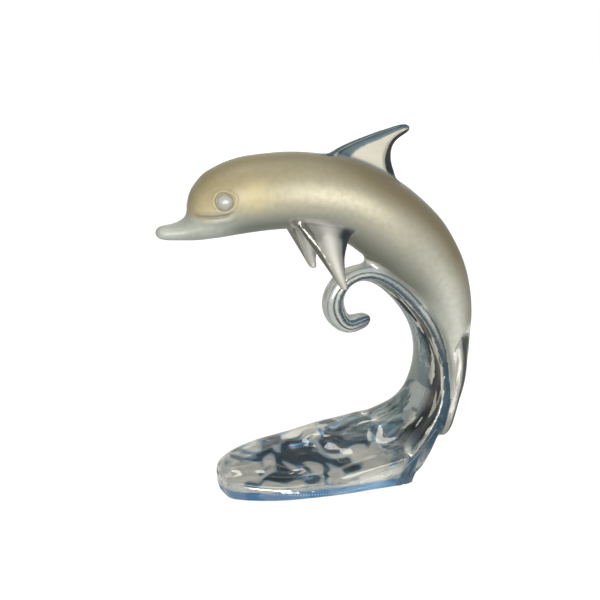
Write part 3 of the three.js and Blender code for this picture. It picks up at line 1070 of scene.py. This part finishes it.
along, across = sheet.mark("body_along"), sheet.mark("body_across")
head = along.soft_step(0.42, 0.2)
# Masks of the painted warm and golden light at the brow.
warm = along.soft_step(0.85, 0.4) * (across + cloud * 0.3 - head * 0.32).soft_step(-0.7, 0.15)
golden = along.soft_step(0.5, 0.2) * warm
# Masks of the painted highlight band along the flank and the painted highlight down the tail.
band = ((across - 0.12) * 2.6).hump() * along.soft_step(0.28, 0.46) * along.soft_step(0.6, 0.48)
tail_highlight = (across * 1.4).hump() * along.soft_step(0.62, 0.74) * along.soft_step(0.95, 0.88)
# Masks of the painted shade under the belly and over the back.
shaded = across.soft_step(0.0, -0.9) * along.soft_step(0.16, 0.3)
shaded = shaded * (1 - along.soft_step(0.68, 0.82) * 0.7)
middle_back = along.soft_step(0.4, 0.52) * along.soft_step(0.8, 0.66)
upper = across.soft_step(0.0, 0.85) * (0.58 + middle_back * 0.42) + middle_back * 0.12
grain = sheet.clouds(object_place, 380, 4)
satin_colour = sheet.layers(
    sheet.blend(head, SATIN_COOL, SATIN_CHEEK),
    (warm, SATIN_WARM_LIGHT),
    (golden, SATIN_GOLD_LIGHT),
    (band, SATIN_HIGHLIGHT_BAND),
    (tail_highlight * 0.6, SATIN_TAIL_HIGHLIGHT),
    ((cloud - 0.35) * 0.3, SATIN_CLOUD),
    (shaded * 0.85, SATIN_BELLY_SHADE),
    (upper, SATIN_BACK_SHADE),
    ((grain - 0.42) * 0.7, GRAIN_COLOUR),
    (patch(GOLD_PLACE, GOLD_REACH) * (cloud * 1.1), GOLD_REFLECTION),
    (patch(BEAK_PLACE, BEAK_PATCH) * 0.8, SATIN_BEAK),
)
print("satin tints laid,", len(sheet.tree.nodes), "nodes so far")

# %% [markdown]
# The crease of the mouth and the groove round the eye are given painted shade, the eye is a polished
# grey bead, and a row of fine dots along the foot sparkles with painted glints. The tail's end is clear
# with a milky face and a dark edge.

# %% Eye, crease, dots and the tail's end
EYE_COLOUR = (0.48, 0.5, 0.48)
# Painted shade for the crease of the mouth and the groove round the eye.
CREASE_SHADE = (0.16, 0.15, 0.1)
BEAD_WIDTH = 0.5
# Painted glints on the row of fine dots along the foot.
DOT_GLINT_COLOUR = (0.75, 0.82, 0.88)
LOBE_CREAM = (0.72, 0.72, 0.67)
LOBE_EDGE = (0.1, 0.12, 0.11)

satin_depth, eye_bead = sheet.mark("satin"), sheet.mark("eye_bead")
is_satin = satin_depth.soft_step(-0.12, 0.12)
is_bead = eye_bead.soft_step(-0.3, 0.3)
dots = (sheet.mark("bead_run") * math.tau).math("SINE").soft_step(-0.6, 0.6)
bead_row = (sheet.mark("bead_gap") * (1 / BEAD_WIDTH)).hump() * dots
lobe_colour = sheet.blend(sheet.mark("lobe_across").soft_step(-0.15, 0.1), LOBE_CREAM, LOBE_EDGE)
on_plate = sheet.mark("on_lobe").soft_step(-0.2, 0.4) * (1 - is_satin)
satin_colour = sheet.layers(
    satin_colour,
    # Painted shade in the crease of the mouth and in the groove round the eye.
    (sheet.mark("crease") * 0.75, CREASE_SHADE),
    (((eye_bead + 0.4) * 1.5).hump() * 0.8, CREASE_SHADE),
    (is_bead, EYE_COLOUR),
    (bead_row, DOT_GLINT_COLOUR),
    (on_plate, lobe_colour),
)
print("face and tail laid,", len(sheet.tree.nodes), "nodes so far")

# %% [markdown]
# The ribbon's marks tell where a point lies: its share of the way from the nose of the mound to the
# tip of the curl, its place across, and its level between the back and the face. Soft steps of these
# part the water into pool, trough, rims, arc and curl, as the polisher's eye would.

# %% Areas of the water
HEEL_SLOPE, HEEL_START, HEEL_FULL = 0.6, 0.028, 0.031

share, place, level = (sheet.mark("ribbon_" + name) for name in ("share", "place", "level"))
in_water = sheet.mark("in_water")
is_wet = in_water.soft_step(-0.8, 0.2)
is_inner = level.soft_step(0.44, 0.56)
is_near = place.soft_step(-0.55, -0.75)
is_wave = share.soft_step(0.25, 0.33)
is_arc = share.soft_step(0.44, 0.54)
is_curl = share.soft_step(0.58, 0.68)
is_rim = is_near * (1 - is_inner) * is_wave * (1 - is_arc)
is_trough = is_inner * (1 - place.soft_step(-0.35, 0.0))
is_crest = ((level - 0.46) * 8).hump() * is_near
is_pool = is_inner * (1 - share.soft_step(0.24, 0.33)) * (1 - is_near * (1 - is_inner))
on_side = is_near * (1 - is_inner).at_least(is_curl)
off_ground = up.soft_step(0.0001, 0.0004)
is_foot = up.soft_step(0.0042, 0.0034) * off_ground
on_heel = sheet.mark("on_heel").soft_step(-0.3, 0.3)
on_heel = on_heel * (right - up * HEEL_SLOPE).soft_step(HEEL_START, HEEL_FULL)
print("areas of the water parted,", len(sheet.tree.nodes), "nodes so far")

# %% [markdown]
# The clear water shows no colour of its own, but light and dark lines from the room, so these are
# painted reflections. The near rim has painted lines that run along it, the trough has long painted
# streaks, and the pool's painted reflections swirl from dark blue to cream.

# %% Colours of the water
CLEAR_COLOUR = (0.93, 0.95, 0.94)
# Painted reflections of the room, light and dark, for the water's areas down to the curl.
WATER_REFLECTION = (0.15, 0.22, 0.26)
SHEET_REFLECTION = (0.12, 0.18, 0.18)
DARK_REFLECTION = (0.006, 0.009, 0.014)
CREAM_REFLECTION = (1.0, 0.97, 0.86)
RIB_REFLECTION = (0.02, 0.08, 0.15)
SILVER_REFLECTION = (0.82, 0.84, 0.82)
INNER_REFLECTION = (0.1, 0.18, 0.24)
# A painted highlight along the crest of the near rim.
CREST_HIGHLIGHT = (0.98, 0.96, 0.88)
CURL_REFLECTION = (1.0, 0.99, 0.93)
FOOT_COLOUR = (0.1, 0.34, 0.8)
# Painted shade on the heel, under the bend of the wave.
HEEL_SHADE = (0.1, 0.2, 0.3)
POOL_REFLECTION_STOPS = [
    (0.38, (0.01, 0.02, 0.035)), (0.45, (0.05, 0.08, 0.12)), (0.48, (0.12, 0.36, 0.7)),
    (0.5, (0.5, 0.55, 0.55)), (0.56, (1.0, 0.97, 0.88)),
]

# Painted streaks in the trough, painted lines along the near side and painted swirls of reflection in the
# pool.
along_ribbon = sheet.node("ShaderNodeCombineXYZ", inputs={"X": share * 20, "Y": place * 4})
streak = sheet.clouds(along_ribbon.outputs[0], 1, 0.5)
trough = sheet.blend(streak.soft_step(0.58, 0.62), DARK_REFLECTION, CREAM_REFLECTION)
pillow = sheet.clouds(object_place, 62, 1, 1.4) + sheet.mark("ripple") * 0.15
silver_side = sheet.layers(
    sheet.blend(level.soft_step(-0.1, 0.1), SILVER_REFLECTION, INNER_REFLECTION),
    (((level + 0.1) * 7).hump(), CREST_HIGHLIGHT),
    (((level + 0.32) * 6).hump(), DARK_REFLECTION),
    (((level - 0.2) * 7).hump(), DARK_REFLECTION),
    (level.soft_step(-0.75, -0.92), DARK_REFLECTION),
)
wave_side = sheet.layers(
    RIB_REFLECTION, (is_arc, silver_side), (share.soft_step(0.88, 0.94) * 0.7, RIB_REFLECTION)
)
ribbon_colour = sheet.layers(
    sheet.blend(place.soft_step(-0.2, 0.4), WATER_REFLECTION, SHEET_REFLECTION),
    (is_curl * 0.8, CURL_REFLECTION),
    (place.soft_step(0.82, 0.95), RIB_REFLECTION),
    (is_trough * is_wave * (1 - is_curl), trough),
    (on_side, sheet.blend(is_wave, CREAM_REFLECTION, wave_side)),
    (is_crest, CREST_HIGHLIGHT),
    (level.soft_step(0.0, -0.3) * (1 - is_wave), CLEAR_COLOUR),
    (is_pool * 0.85, sheet.value("ShaderNodeValToRGB", "Color", {"stops": POOL_REFLECTION_STOPS}, {"Fac": pillow})),
)
water_colour = sheet.layers(
    CLEAR_COLOUR, (is_wet, ribbon_colour), (is_foot, FOOT_COLOUR), (on_heel * off_ground, HEEL_SHADE)
)
print("water colours laid,", len(sheet.tree.nodes), "nodes so far")

# %% [markdown]
# The fins are clear blades painted with reflections: a bright fore edge and a dark rear one. Their
# painted bands follow the places along and across each blade, and a small painted dark spot of
# reflection sits at the root of the near pectoral fin.

# %% Colours of the fins
# Painted reflections on the clear fins.
FIN_CREAM_REFLECTION = (0.9, 0.88, 0.78)
FIN_BLUE_REFLECTION = (0.06, 0.13, 0.18)
FIN_SILVER_REFLECTION = (0.4, 0.41, 0.38)
FIN_PALE_REFLECTION = (0.95, 0.94, 0.9)
FIN_DARK_REFLECTION = (0.01, 0.014, 0.014)
FIN_SIDE_REFLECTION = (0.12, 0.12, 0.09)
FIN_TIP_REFLECTION = (0.12, 0.15, 0.16)
DARK_SPOT, DARK_REACH = (15.0, -15, 118.6), 4.2

along, across = sheet.mark("dorsal_along"), sheet.mark("dorsal_across")
dorsal_colour = sheet.layers(
    sheet.blend((across - along * 0.6).soft_step(-0.58, -0.7), FIN_CREAM_REFLECTION, FIN_BLUE_REFLECTION),
    ((across + along * 0.9).soft_step(0.84, 0.94), FIN_DARK_REFLECTION),
    (along.soft_step(0.8, 0.95), FIN_TIP_REFLECTION),
)
across = sheet.mark("pectoral_across")
pectoral_colour = sheet.layers(
    sheet.blend(((across - 0.1) * 2.2).hump(), FIN_SILVER_REFLECTION, FIN_PALE_REFLECTION),
    (across.soft_step(-0.4, -0.5), FIN_SIDE_REFLECTION),
    (across.soft_step(0.55, 0.75), FIN_DARK_REFLECTION),
    (across.soft_step(-0.75, -0.95), FIN_DARK_REFLECTION),
)
dorsal_mark, pectoral_mark = sheet.mark("on_dorsal_fin"), sheet.mark("on_pectoral_fin")
on_dorsal, on_pectoral = dorsal_mark.soft_step(-0.3, 0.3), pectoral_mark.soft_step(-0.3, 0.3)
# A painted dark spot of reflection at the root of the near pectoral fin.
spot = patch(DARK_SPOT, DARK_REACH)
water_colour = sheet.layers(
    water_colour,
    (on_dorsal, dorsal_colour),
    (pectoral_mark.soft_step(-2.0, 0.3), pectoral_colour),
    (spot, DARK_REFLECTION),
    (on_plate, lobe_colour),
)
print("fin colours laid,", len(sheet.tree.nodes), "nodes so far")

# %% [markdown]
# Clear crystal is nearly all transmission, with a coat that mirrors the room as polished lead glass
# does. But a plain studio gives the water little to mirror, so each clear area also takes a share of
# the satin shader in its painted reflection and painted shade colours, which is its cover. The rest of
# it stays see-through.

# %% Cover of the clear areas
# Painted reflections on the clear margins beside the satin and on the ridge.
MARGIN_REFLECTION = (0.4, 0.42, 0.4)
RIDGE_REFLECTION = (0.08, 0.18, 0.22)
# Painted shade on the near side of the heel.
HEEL_PAINTED_SHADE = (0.02, 0.075, 0.15)
LOBE_COVER, DOT_COVER, MARGIN_COVER, RIDGE_COVER = 0.4, 0.55, 0.55, 0.45
POOL_COVER, RIM_COVER, FIN_COVER, TROUGH_COVER = 0.36, 0.4, 0.18, 0.5
CURL_COVER, HEEL_COVER, WATER_COVER, SPOT_COVER = 0.5, 0.6, 0.2, 0.8

is_margin = satin_depth.soft_step(-1.8, -0.4) * in_water.soft_step(-1.4, -2.4)
on_ridge = sheet.mark("on_ridge").soft_step(0, 0.5)
near_heel = on_heel * depth.soft_step(0.002, -0.004)
painted_colour = sheet.layers(
    water_colour,
    (near_heel, HEEL_PAINTED_SHADE), (is_margin, MARGIN_REFLECTION), (on_ridge, RIDGE_REFLECTION), (spot, DARK_REFLECTION),
)
is_polished = (1 - is_satin) * (1 - on_plate) * (1 - bead_row)
satin_colour = sheet.blend(is_polished, satin_colour, painted_colour)
cover = is_satin.at_least(
    on_plate * LOBE_COVER, bead_row * DOT_COVER, is_margin * MARGIN_COVER, on_ridge * RIDGE_COVER,
    is_pool * POOL_COVER, is_rim * RIM_COVER, on_dorsal.at_least(on_pectoral) * FIN_COVER,
    is_trough * is_wave * TROUGH_COVER, is_curl * CURL_COVER, is_wet * WATER_COVER,
    spot * SPOT_COVER, near_heel * HEEL_COVER,
)
print("cover laid,", len(sheet.tree.nodes), "nodes so far")

# %% [markdown]
# The clear shader is see-through by plain values: transmission one and an index of 1.5. The satin one
# lets a little light in and has a fine etched bump. One factor, the cover, mixes the two.

# %% Two shaders, mixed
quiet = (on_plate * 0.95).at_least(
    up.soft_step(0.006, 0.004) * 0.75, is_trough * is_wave * 0.8, is_rim * 0.7,
    on_dorsal * 0.6, on_pectoral * 0.3,
)
clear_bump = sheet.node("ShaderNodeBump", inputs={
    "Strength": 0.1, "Distance": 0.0003, "Height": sheet.clouds(object_place, 120, 2),
})
clear_shader = sheet.node("ShaderNodeBsdfPrincipled", inputs={
    "Base Color": water_colour, "Roughness": 0.03 + is_wet * 0.07, "IOR": 1.5,
    "Transmission Weight": 1.0, "Normal": clear_bump.outputs["Normal"],
    "Coat Weight": 1 - quiet, "Coat IOR": 2.4, "Coat Roughness": 0.03,
})
satin_bump = sheet.node("ShaderNodeBump", inputs={
    "Strength": 0.25, "Distance": 0.0001, "Height": sheet.clouds(object_place, 1400, 3),
})
satin_shader = sheet.node("ShaderNodeBsdfPrincipled", inputs={
    "Base Color": satin_colour, "Roughness": (0.34 + cloud * 0.1) * (1 - is_bead * 0.8), "IOR": 1.52,
    "Transmission Weight": 0.15, "Normal": satin_bump.outputs["Normal"],
})
both = {0: cover, 1: clear_shader.outputs[0], 2: satin_shader.outputs[0]}
mix = sheet.node("ShaderNodeMixShader", inputs=both)
sheet.node("ShaderNodeOutputMaterial", inputs={"Surface": mix.outputs[0]})
crystal.data.materials.clear()
crystal.data.materials.append(crystal_look)
print("crystal", len(sheet.tree.nodes), "nodes")

# %% [markdown]
# The floor is plain and pale to the camera. What the glass mirrors or bends is darker, with soft
# patches, because clear glass in an all-white room has nothing to show and would look like plastic.

# %% Floor
FLOOR_REACH = 4.0
FLOOR_DOWN = 0.0002
FLOOR_SHADE, FLOOR_GLOW, CAMERA_GLOW = (0.12, 0.12, 0.12), 0.12, 0.87
BEHIND_NEAR, BEHIND_MIDDLE = (0.5, 0.5, 0.47), (0.42, 0.45, 0.46)
BEHIND_FAR, BEHIND_BACK = (0.55, 0.56, 0.53), (0.82, 0.8, 0.72)
UNDER_DARK, UNDER_LIGHT = (0.1, 0.13, 0.16), (1.4, 1.36, 1.22)

deselect()
bpy.ops.mesh.primitive_plane_add(size=2 * FLOOR_REACH, location=(0, 0, -FLOOR_DOWN))
floor = bpy.context.object
floor.name = "floor"
floor_look = bpy.data.materials.new("pale_floor")
ground = Sheet(floor_look)
path = ground.node("ShaderNodeLightPath").outputs
spot = ground.node("ShaderNodeTexCoord").outputs["Object"]
matt = ground.node("ShaderNodeBsdfDiffuse", inputs={"Color": FLOOR_SHADE})
strength = FLOOR_GLOW + Value(ground, path["Is Camera Ray"]) * CAMERA_GLOW
glow = ground.node("ShaderNodeEmission", inputs={"Color": (1, 1, 1), "Strength": strength})
pale = ground.node("ShaderNodeAddShader", inputs={0: matt.outputs[0], 1: glow.outputs[0]})
back = ground.value("ShaderNodeSeparateXYZ", "Y", inputs={"Vector": spot})
back = back + (ground.clouds(spot, 22, 1) - 0.5) * 0.12
near = ground.blend(back.soft_step(-0.16, -0.04), BEHIND_NEAR, BEHIND_MIDDLE)
far = ground.blend(back.soft_step(0.06, 0.16), BEHIND_FAR, BEHIND_BACK)
away = ground.value("ShaderNodeVectorMath", "Value", {"operation": "LENGTH"}, {0: spot})
spots_under = ground.blend(ground.clouds(spot, 70, 0).soft_step(0.4, 0.48), UNDER_DARK, UNDER_LIGHT)
colour = ground.blend(back.soft_step(-0.05, 0.03), near, far)
colour = ground.blend(away.soft_step(0.1, 0.07) * 0.8, colour, spots_under)
in_glass = ground.node("ShaderNodeEmission", inputs={"Color": colour, "Strength": 1.0})
through = Value(ground, path["Is Transmission Ray"]).at_least(path["Is Glossy Ray"])
both = {0: through, 1: pale.outputs[0], 2: in_glass.outputs[0]}
mix = ground.node("ShaderNodeMixShader", inputs=both)
ground.node("ShaderNodeOutputMaterial", inputs={"Surface": mix.outputs[0]})
floor.data.materials.append(floor_look)
print("floor", 2 * FLOOR_REACH, "m,", len(ground.tree.nodes), "nodes")

# %% [markdown]
# The room is plain white to the camera too. To the glass it is grey, with a bright card to the left,
# a soft window above and patches in front, like the room that the photograph's glass mirrors.

# %% World
ROOM_FRONT_DARK, ROOM_FRONT_LIGHT = (0.12, 0.14, 0.15), (1.25, 1.22, 1.1)
ROOM_SIDE, ROOM_BEHIND = (0.32, 0.35, 0.36), (0.72, 0.7, 0.62)
ROOM_WINDOW, ROOM_RIGHT, ROOM_LEFT = (1.1, 1.07, 0.95), (0.34, 0.39, 0.43), (1.4, 1.36, 1.25)
CEILING_DARK, CEILING_LIGHT = (0.07, 0.08, 0.08), (0.75, 0.73, 0.66)

world = bpy.data.worlds.new("soft_room")
SCENE.world = world
room = Sheet(world)
direction = room.node("ShaderNodeTexCoord").outputs["Generated"]


def facing(way):
    """How far a direction looks one way, from -1 to 1."""
    ways = {0: direction, 1: tuple(Vector(way).normalized())}
    return room.value("ShaderNodeVectorMath", "Value", {"operation": "DOT_PRODUCT"}, ways)


patches, cards = room.clouds(direction, 1.9, 1), room.clouds(direction, 3.2, 1)
wobble = (patches - 0.5) * 0.9
behind = facing((0.34, 0.94, 0)) + wobble
overhead = facing((0, 0, 1)) + wobble * 0.6
window = overhead.soft_step(0.0, 0.1) * (1 - overhead.soft_step(0.22, 0.32)) * patches.soft_step(0.4, 0.5)
room_colour = room.layers(
    room.blend(cards.soft_step(0.42, 0.54), ROOM_FRONT_DARK, ROOM_FRONT_LIGHT),
    (behind.soft_step(-0.6, 0.0), ROOM_SIDE),
    (behind.soft_step(0.35, 0.7), ROOM_BEHIND),
    (window, ROOM_WINDOW),
    (overhead.soft_step(0.5, 0.8), room.blend(cards.soft_step(0.48, 0.56), CEILING_DARK, CEILING_LIGHT)),
    ((facing((0.9, -0.3, 0.1)) + wobble).soft_step(0.55, 0.8), ROOM_RIGHT),
    ((facing((-0.9, -0.3, 0.3)) + wobble).soft_step(0.78, 0.86), ROOM_LEFT),
)
path = room.node("ShaderNodeLightPath").outputs
mirrored = Value(room, path["Is Glossy Ray"]).at_least(path["Is Transmission Ray"])
strength = 0.2 + mirrored * 0.8
room_light = room.node("ShaderNodeBackground", inputs={"Color": room_colour, "Strength": strength})
white = room.node("ShaderNodeBackground", inputs={"Color": (1, 1, 1), "Strength": 1.0})
both = {0: path["Is Camera Ray"], 1: room_light.outputs[0], 2: white.outputs[0]}
mix = room.node("ShaderNodeMixShader", inputs=both)
room.node("ShaderNodeOutputWorld", inputs={"Surface": mix.outputs[0]})
SCENE.view_settings.view_transform = "Standard"
print("room", len(room.tree.nodes), "nodes")

# %% [markdown]
# Three round softboxes light the satin: a key close to the camera, one overhead and one behind. The
# back one is hidden from camera, mirror and clear glass, so that no disc of it shows in the water.

# %% Lights
def softbox(name, azimuth, height, distance, size, power, colour):
    """A round soft light, by its angles in degrees, aimed at the middle of the view."""
    azimuth, height = math.radians(azimuth), math.radians(height)
    way = Vector((
        math.sin(azimuth) * math.cos(height), -math.cos(azimuth) * math.cos(height), math.sin(height)
    ))
    bpy.ops.object.light_add(type="AREA", location=VIEW_TARGET + way * distance)
    light = bpy.context.object
    light.name = name
    light.data.shape = "DISK"
    light.data.size = size
    light.data.energy = power
    light.data.color = colour
    light.rotation_euler = way.to_track_quat("Z", "Y").to_euler()
    print("light", name, power, "W")
    return light


softbox("key", -14, 5, 1.2, 0.8, 19, (1.0, 0.97, 0.9))
softbox("overhead", 0, 88, 1.5, 0.8, 5, (1.0, 0.96, 0.86))
back_light = softbox("back", 165, 20, 1.2, 0.9, 14, (1, 0.98, 0.95))
back_light.visible_camera = False
back_light.visible_glossy = False
back_light.visible_transmission = False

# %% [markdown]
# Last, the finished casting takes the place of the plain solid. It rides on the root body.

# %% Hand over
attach(crystal, "root")
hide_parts("crystal_dolphin")
